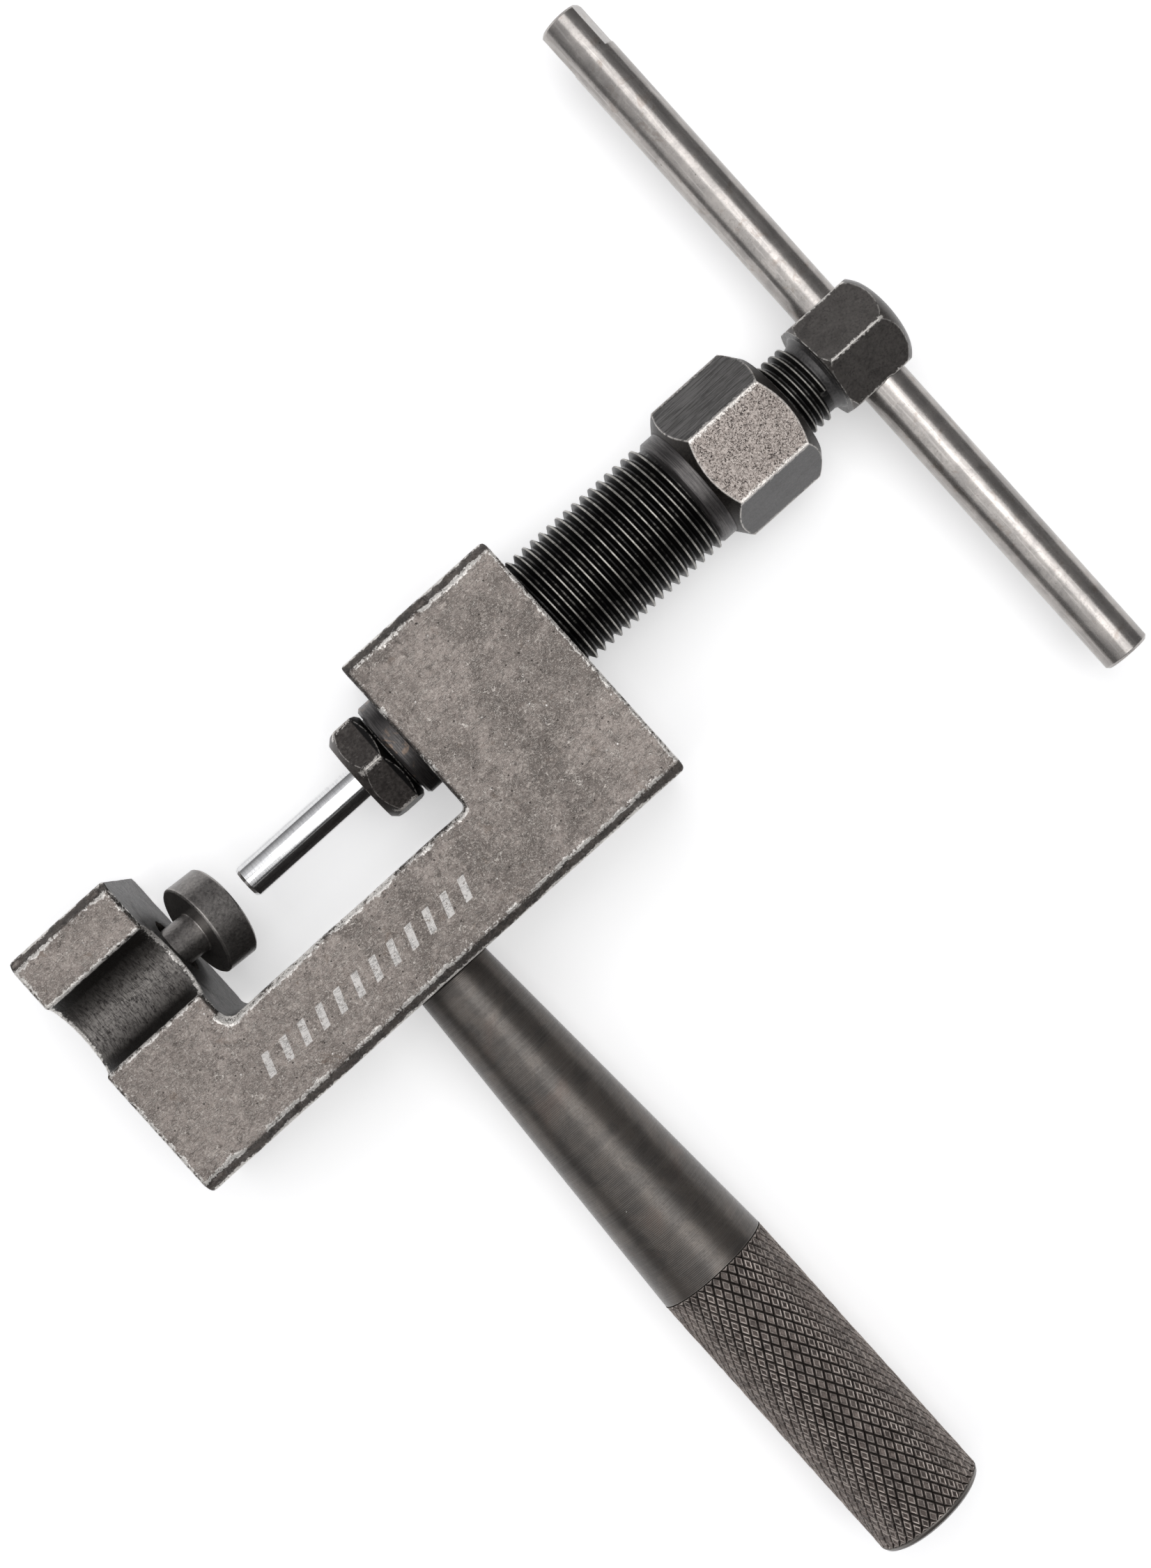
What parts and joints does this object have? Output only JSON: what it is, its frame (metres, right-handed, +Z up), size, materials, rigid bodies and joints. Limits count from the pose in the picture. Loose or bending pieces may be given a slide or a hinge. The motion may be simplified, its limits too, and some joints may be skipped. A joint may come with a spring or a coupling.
{
  "type": "chain breaker",
  "caption": "C-frame chain breaker and riveter: a T-bar driven punch inside a threaded pressure bolt, a loose disc anvil, and a side handle with a knurled grip.",
  "frame": {"origin": "the tip of the punch pin at rest, on the screw axis, half way through the frame's thickness", "axes": "+X along the screw axis from the anvil towards the T-bar, +Y away from the handle, +Z up when the tool lies flat"},
  "size_m": [0.1457, 0.1837, 0.025],
  "materials": {
    "frame_steel": "warm grey-brown oxide over machined flat bar, lightly scratched",
    "handle_steel": "dark oxide, finely turned",
    "hidden_steel": "black oxide",
    "anvil_steel": "matte black oxide",
    "bolt_steel": "black oxide, crests and hexagon edges worn bright",
    "guide_steel": "black oxide with bright worn corners",
    "spring_steel": "drawn spring wire",
    "pin_steel": "ground and polished",
    "drive_steel": "black oxide, crests worn bright",
    "bar_steel": "drawn bar, mottled and handled"
  },
  "bodies": {
    "frame": {"frame_body": "frame_steel", "handle": "handle_steel", "handle_stud": "hidden_steel"},
    "anvil": {"anvil": "anvil_steel"},
    "spring": {"return_spring": "spring_steel"},
    "pressure": {"pressure_bolt": "bolt_steel", "pin_guide_nut": "guide_steel"},
    "punch": {"punch_pin": "pin_steel"},
    "drive": {"drive_bolt": "drive_steel"},
    "bar": {"tommy_bar": "bar_steel"}
  },
  "joints": [
    {"name": "anvil_seat", "type": "hinge", "parent": "frame", "child": "anvil", "pos_m": [-0.01591, -0.00078, -0.00774], "axis": [0, -0.995, 0.0998], "range_deg": [0, 23.6]},
    {"name": "press_feed", "type": "slide", "parent": "frame", "child": "spring", "axis": [-1, 0, 0], "range_m": [-0.01401, 0.00091]},
    {"name": "press_turn", "type": "hinge", "parent": "spring", "child": "pressure", "pos_m": [0, 0, 0], "axis": [-1, 0, 0], "range_deg": [-3360, 216]},
    {"name": "punch_feed", "type": "slide", "parent": "pressure", "child": "punch", "axis": [-1, 0, 0], "range_m": [-0.02001, 0.00071], "deforming": ["return_spring"]},
    {"name": "drive_turn", "type": "hinge", "parent": "punch", "child": "drive", "pos_m": [0, 0, 0], "axis": [-1, 0, 0], "range_deg": [-5760, 201.6]},
    {"name": "bar_slide", "type": "slide", "parent": "drive", "child": "bar", "axis": [0, 1, 0], "range_m": [-0.046, 0.044]}
  ],
  "couplings": [
    {"joint": "press_feed", "follows": "press_turn", "m_per_rad": 0.00023873},
    {"joint": "punch_feed", "follows": "drive_turn", "m_per_rad": 0.00019894}
  ]
}
